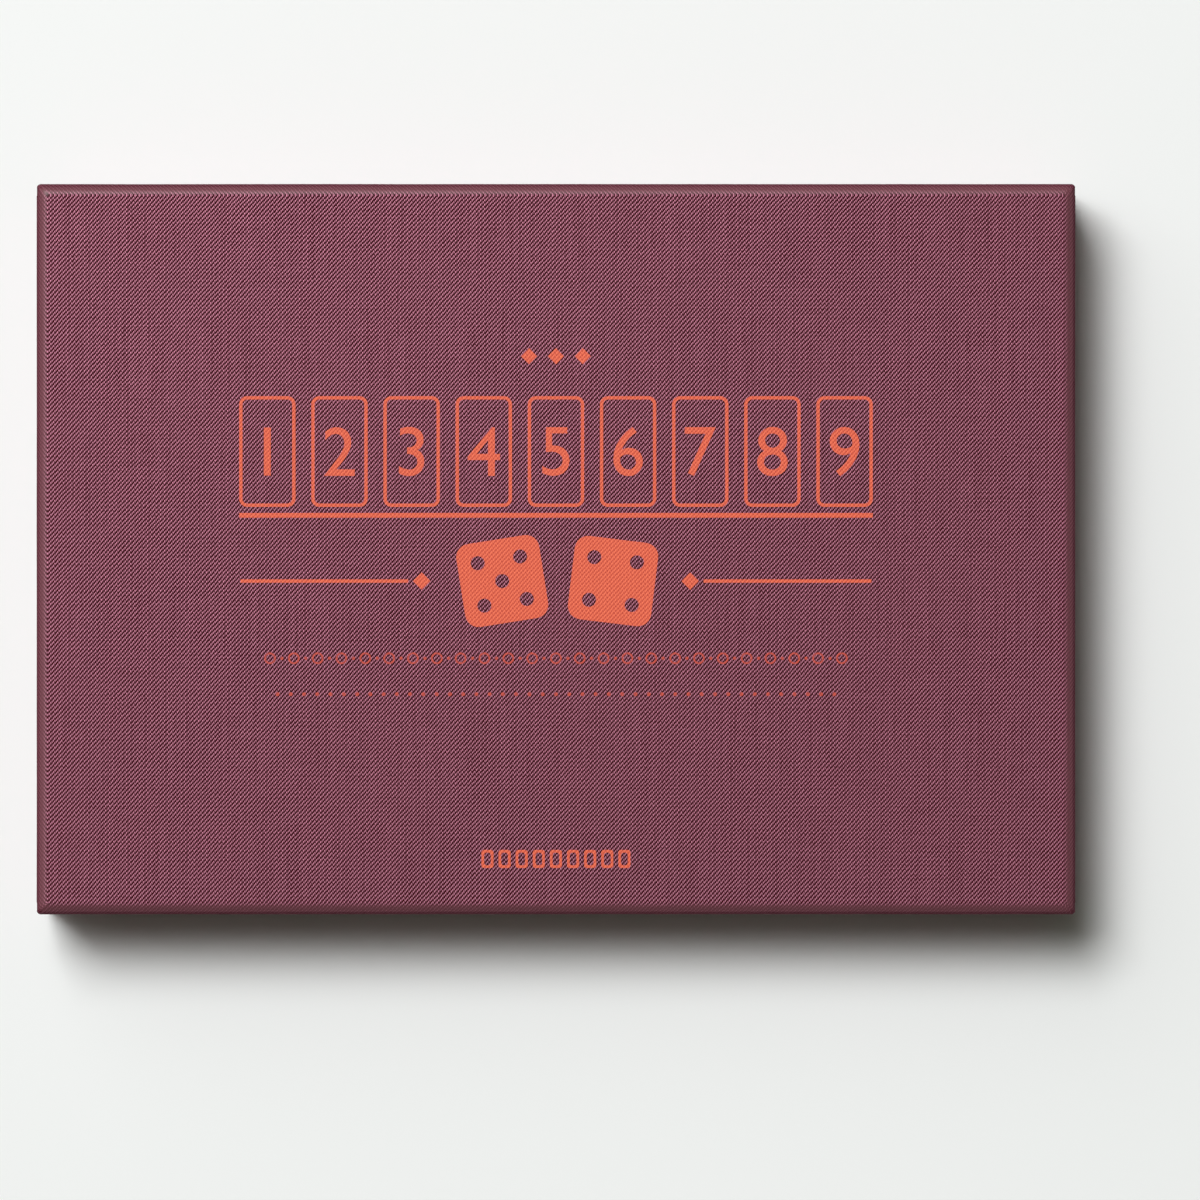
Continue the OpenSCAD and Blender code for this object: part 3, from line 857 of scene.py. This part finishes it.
def printed_dice():
    """Two solid dice with open pips, between two rules."""
    wide, pitch, pip, middle = 25*MM, 6.4*MM, 2.1*MM, -9.5*MM
    shapes = []
    for x, turn, number in ((-16*MM, 9, 5), (17*MM, -7, 4)):
        loops = [rounded((-wide/2, -wide/2), (wide/2, wide/2), 4*MM)]
        loops += [circle(px*pitch, py*pitch, pip) for px, py in PIP_PLACES[number]]
        shapes.append(moved(outlined(loops), x, middle, 0, turn))
    loops = []
    for side in (-1, 1):
        inner, outer = sorted((side*44*MM, side*94*MM))
        loops.append(bar((inner, middle - 0.5*MM), (outer, middle + 0.5*MM)))
        loops.append(diamond(side*40*MM, middle, 2.6*MM))
    return shapes + [outlined(loops)]


def printed_marks():
    """Small marks over and under: three diamonds and a row of little tiles."""
    loops = [diamond(x*MM, 57.5*MM, 2.4*MM) for x in (-8, 0, 8)]
    for k in range(9):
        x = (k - 4)*5.1*MM
        loops += ring_loops((x - 1.8*MM, -95*MM), (x + 1.8*MM, -89.6*MM), 0.8*MM, 0.8*MM)
    return [outlined(loops)]


def printed_dots():
    """A row of small rings with dots between them, and a row of finer dots."""
    rings, ring_pitch, ring_y = 25, 7.1*MM, -32.5*MM
    dots, dot_pitch, dot_y = 43, 3.95*MM, -43.2*MM
    loops = []
    for k in range(rings):
        x = (k - (rings - 1)/2)*ring_pitch
        loops += [circle(x, ring_y, 1.75*MM, 24), circle(x, ring_y, 1.2*MM, 24)]
        if k < rings - 1:
            loops.append(circle(x + ring_pitch/2, ring_y, 0.5*MM, 12))
    loops += [circle((k - (dots - 1)/2)*dot_pitch, dot_y, 0.6*MM, 12) for k in range(dots)]
    return [outlined(loops)]


def lid_print():
    for name, made, shapes in (("lid_print", ORANGE, printed_tiles() + printed_dice() + printed_marks()),
                               ("lid_print_dots", RUST, printed_dots())):
        mesh = moved(joined(shapes), 0, 0, LID_HIGH.z - (INK_T + INK_SINK)/2)
        uv = mesh.uv_layers.new(name="cloth")
        for loop in mesh.loops:
            uv.data[loop.index].uv = mesh.vertices[loop.vertex_index].co.xy
        finished(name, painted(mesh, made), "lid")


# Tray

def rod_between(x0, x1, r):
    return prism(circle(PIVOT_Y, PIVOT_Z, r), x0, x1, "X")


def rail(name, axis, first_cut):
    """A rail with rounded top edges, the floor's groove, and every second finger of its ends cut away."""
    low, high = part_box(name)
    across, along = (1, 0) if axis == "X" else (0, 1)
    thick = high[across] - low[across]
    past = 1*MM
    outline = ([(low[across], low.z), (high[across], low.z)]
               + quarter(high[across] - RAIL_ROUND, high.z - RAIL_ROUND, RAIL_ROUND, 0)
               + quarter(low[across] + RAIL_ROUND, high.z - RAIL_ROUND, RAIL_ROUND, 90))
    mesh = prism(outline, low[along], high[along], axis)
    step = (high.z - low.z)/FINGERS
    for k in range(first_cut, FINGERS, 2):
        z0 = low.z + k*step - (past if k == 0 else 0)
        z1 = low.z + (k + 1)*step + (past if k == FINGERS - 1 else 0)
        for start, end in ((low[along] - past, low[along] + thick),
                           (high[along] - thick, high[along] + past)):
            near, far = [0, 0, z0], [0, 0, z1]
            near[across], far[across] = low[across] - past, high[across] + past
            near[along], far[along] = start, end
            mesh = combined(mesh, block(near, far))
    mesh = combined(mesh, block(FLOOR_LOW, FLOOR_HIGH))
    if axis == "Y":
        start = ROD_LOW.x if low.x < 0 else low.x - past
        mesh = combined(mesh, rod_between(start, high.x + past, AXLE_R + AXLE_FIT))
    mesh = toned(bevelled(mesh, 0.14*MM), random.random())
    finished(name + "_wood", painted(mesh, WALNUT[axis]), "base", [name])


def comb():
    """A strip let into the floor, with ten lugs that carry the rod."""
    count = len(TILES) + 1
    pitch = (COMB_HIGH.x - COMB_LOW.x - LUG_T)/(count - 1)
    foot = COMB_TOP - PIVOT_Z - 1*MM
    outline = ([(-LUG_R, foot), (LUG_R, foot)]
               + quarter(0, 0, LUG_R, 0, 10) + quarter(0, 0, LUG_R, 90, 10)[1:])
    lug = bevelled(prism(outline, -LUG_T/2, LUG_T/2, "X"), 0.5*MM, segments=3)
    lug = combined(lug, prism(circle(0, 0, AXLE_R + AXLE_FIT), -LUG_T, LUG_T, "X"))
    points = [(COMB_LOW.x + LUG_T/2 + k*pitch, PIVOT_Y, PIVOT_Z) for k in range(count)]
    lugs = repeated(lug, points, WALNUT["X"])
    strip = bevelled(block(COMB_LOW, (COMB_HIGH.x, COMB_HIGH.y, COMB_TOP)), 0.4*MM)
    mesh = toned(joined([painted(strip, WALNUT["X"]), lugs]), 0.62)
    finished("comb_wood", mesh, "base", ["hinge_comb"])


def rod():
    mesh = bevelled(rod_between(ROD_LOW.x, ROD_HIGH.x, AXLE_R), 0.25*MM)
    finished("rod_steel", painted(mesh, STEEL), "base", ["axle_rod"])


def felt(node):
    """Felt with a softly uneven face, and edges that sink a little where they were cut."""
    low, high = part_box(node)
    cell = 1.6*MM
    nx = round((high.x - low.x)/cell)
    ny = round((high.y - low.y)/cell)
    edge_sink = 0.3*MM
    verts, faces = [], []
    for j in range(ny + 1):
        for i in range(nx + 1):
            x = low.x + (high.x - low.x)*i/nx
            y = low.y + (high.y - low.y)*j/ny
            uneven = 0.05*MM*(1 + field.noise(Vector((x*420, y*420, 3))))
            sink = edge_sink if i in (0, nx) or j in (0, ny) else uneven
            verts.append((x, y, high.z - sink))
    for j in range(ny):
        for i in range(nx):
            k = j*(nx + 1) + i
            faces.append((k, k + 1, k + nx + 2, k + nx + 1))
    mesh = thickened(made_of(verts, faces), high.z - low.z - edge_sink)
    for vert in mesh.vertices:
        if vert.co.z < (low.z + high.z)/2:
            vert.co.z = low.z
    piece = finished(node + "_cloth", painted(mesh, FELT), "base", [node], angle=60)


# Tiles and dice

def tile(name, number):
    """A tile lies back from the axle, its turning end round about the bore, with its number on top."""
    low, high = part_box(name)
    reach = high.y - PIVOT_Y
    half = TILE_T/2
    past = 1*MM
    side = (quarter(0, 0, half, 90, 10) + quarter(0, 0, half, 180, 10)[1:]
            + quarter(reach - TILE_EDGE, TILE_EDGE - half, TILE_EDGE, -90)
            + quarter(reach - TILE_EDGE, half - TILE_EDGE, TILE_EDGE, 0))
    side = [(PIVOT_Y + y, PIVOT_Z + z) for y, z in side]
    plan = ([(low.x, low.y - past), (high.x, low.y - past)]
            + quarter(high.x - TILE_CORNER, high.y - TILE_CORNER, TILE_CORNER, 0)
            + quarter(low.x + TILE_CORNER, high.y - TILE_CORNER, TILE_CORNER, 90))
    mesh = prism(side, low.x - past, high.x + past, "X")
    mesh = combined(mesh, prism(plan, low.z - past, high.z + past), "INTERSECT")
    mesh = bevelled(mesh, 0.35*MM, angle=40)
    mesh = combined(mesh, rod_between(low.x - past, high.x + past, AXLE_R + AXLE_PLAY))
    mesh = toned(mesh, random.random())
    finished(name + "_wood", painted(mesh, BEECH), name, [name])
    middle_x, middle_y = (low.x + high.x)/2, (PIVOT_Y + half + high.y)/2
    shapes = [lettered(str(number), 17*MM)]
    if number in (6, 9):
        shapes.append(outlined([bar((-4*MM, -8.6*MM), (4*MM, -7.8*MM))]))
    mesh = moved(joined(shapes), middle_x, middle_y, high.z + (INK_T - INK_SINK)/2)
    finished(name + "_number", painted(mesh, NUMBER_INK), name)


def ball(r, wide, tall):
    work = bmesh.new()
    bmesh.ops.create_uvsphere(work, u_segments=wide, v_segments=tall, radius=r)
    mesh = bpy.data.meshes.new("ball")
    work.to_mesh(mesh)
    work.free()
    return mesh


def die(name):
    """A cube within a ball, with sunk and painted pips."""
    low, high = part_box(name)
    half = DIE_W/2
    mesh = painted(bevelled(block((-half, -half, -half), (half, half, half)), 0.3*MM, segments=3), IVORY)
    mesh = combined(mesh, painted(ball(math.sqrt(3)*half - DIE_CORNER, 96, 64), IVORY), "INTERSECT")
    pip_ball = (PIP_R**2 + PIP_DEPTH**2)/(2*PIP_DEPTH)
    points = []
    for number, places in PIP_PLACES.items():
        for x, y in places:
            centre = Vector((x*PIP_PITCH, y*PIP_PITCH, half + pip_ball - PIP_DEPTH))
            points.append(turned(*FACE_TURNS[number]) @ centre)
    mesh = combined(mesh, repeated(ball(pip_ball, 32, 20), points, PIP_INK))
    mesh.transform(Matrix.Translation((low + high)/2) @ turned(0, 0, DIE_HEADINGS[name])
                   @ turned(*DIE_ROLLS[name]))
    finished(name + "_ivory", mesh, name, [name])


# CAD nodes that are shown as they are

def dress():
    dressed = {"lid_board": GREYBOARD, "base_board": GREYBOARD, "base_infill": GREYBOARD,
               "lid_corner_stays": KRAFT, "base_corner_stays": KRAFT, "lid_lining": LINING,
               "base_lining": LINING, "base_bottom_sheet": UNDERSIDE, "tray_floor": BIRCH}
    for node, made in dressed.items():
        painted(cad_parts[node].data, made)


# Floor, light and camera

def floor():
    reach = 4.0
    mesh = made_of([(x, y, 0) for x, y in bar((-reach, -reach), (reach, reach))], [(0, 1, 2, 3)])
    made, tree, end = material("floor", roughness=0.9, specular_ior_level=0.1)
    tint = noise(tree, place_of(tree), 3.0)
    feed(tree, end["Base Color"], mixed(tree, tint, (0.935, 0.955, 0.95, 1), (0.95, 0.97, 0.965, 1)))
    piece = bpy.data.objects.new("floor", painted(mesh, made))
    bpy.context.scene.collection.objects.link(piece)


def sky(level):
    """Faint warm light from all round. The camera sees it as white, and so do reflections, up to
    where the room's dim ceiling begins."""
    world = bpy.data.worlds.new("studio")
    bpy.context.scene.world = world
    world.use_nodes = True
    tree = world.node_tree
    tree.nodes.clear()
    rays = add(tree, "ShaderNodeLightPath").outputs
    way = tree.nodes.new("ShaderNodeTexCoord").outputs["Generated"]
    rise = add(tree, "ShaderNodeSeparateXYZ", way).outputs[2]
    mirrored = calc(tree, "MULTIPLY", rays["Is Glossy Ray"], ranged(tree, rise, 0.05, 0.3, 1.0, 0.0))
    seen = calc(tree, "MAXIMUM", rays["Is Camera Ray"], rays["Is Transmission Ray"])
    seen = calc(tree, "MAXIMUM", seen, mirrored)
    strength = calc(tree, "ADD", calc(tree, "MULTIPLY", seen, 1.0 - level), level)
    back = add(tree, "ShaderNodeBackground", mixed(tree, seen, (0.98, 1, 0.78, 1), (1, 1, 1, 1)), strength)
    end = add(tree, "ShaderNodeOutputWorld")
    tree.links.new(back.outputs[0], end.inputs[0])


def lamp(name, lean, spread, height, light):
    """A square soft box over the scene. lean is how far it stands off for each metre up, spread
    its width for each metre up, and light what it gives on the floor, where 1 is full."""
    data = bpy.data.lights.new(name, "AREA")
    data.shape = "SQUARE"
    data.size = spread*height
    tilt = Vector((lean[0], lean[1], 1.0))
    data.energy = light*math.pi**2*(height*tilt.length)**2*tilt.length
    piece = bpy.data.objects.new(name, data)
    bpy.context.scene.collection.objects.link(piece)
    piece.location = tilt*height
    piece.rotation_euler = (-tilt).to_track_quat("-Z", "Y").to_euler()


def camera():
    """Looks straight down, as far off as its long lens needs to see the photograph's frame."""
    piece = bpy.data.objects.new("camera", bpy.data.cameras.new("camera"))
    bpy.context.scene.collection.objects.link(piece)
    bpy.context.scene.camera = piece
    piece.data.sensor_width = SENSOR
    piece.data.lens = LENS
    piece.data.clip_end = 20
    x = (FRAME_PX - LEFT_PX - RIGHT_PX)/2*METRES_PER_PX
    y = (TOP_PX + BOTTOM_PX - FRAME_PX)/2*METRES_PER_PX
    piece.location = (x, y, LID_HIGH.z - LID_ROLL + FRAME_PX*METRES_PER_PX*LENS/SENSOR)


bpy.context.scene.view_settings.view_transform = "Standard"
floor()
sky(level=0.062)
lamp("window", lean=(-0.262, 0.362), spread=0.42, height=5.0, light=0.75)
lamp("fill", lean=(-0.62, 0.67), spread=1.3, height=7.0, light=0.205)
camera()

lid_wrap()
base_wrap()
lid_print()
for rail_name, axis, first_cut in (("front_rail", "X", 1), ("back_rail", "X", 1),
                                   ("left_rail", "Y", 0), ("right_rail", "Y", 0)):
    rail(rail_name, axis, first_cut)
comb()
rod()
felt("play_felt")
felt("bay_felt")
for place, tile_name in enumerate(TILES):
    tile(tile_name, place + 1)
for die_name in DIE_HEADINGS:
    die(die_name)
dress()
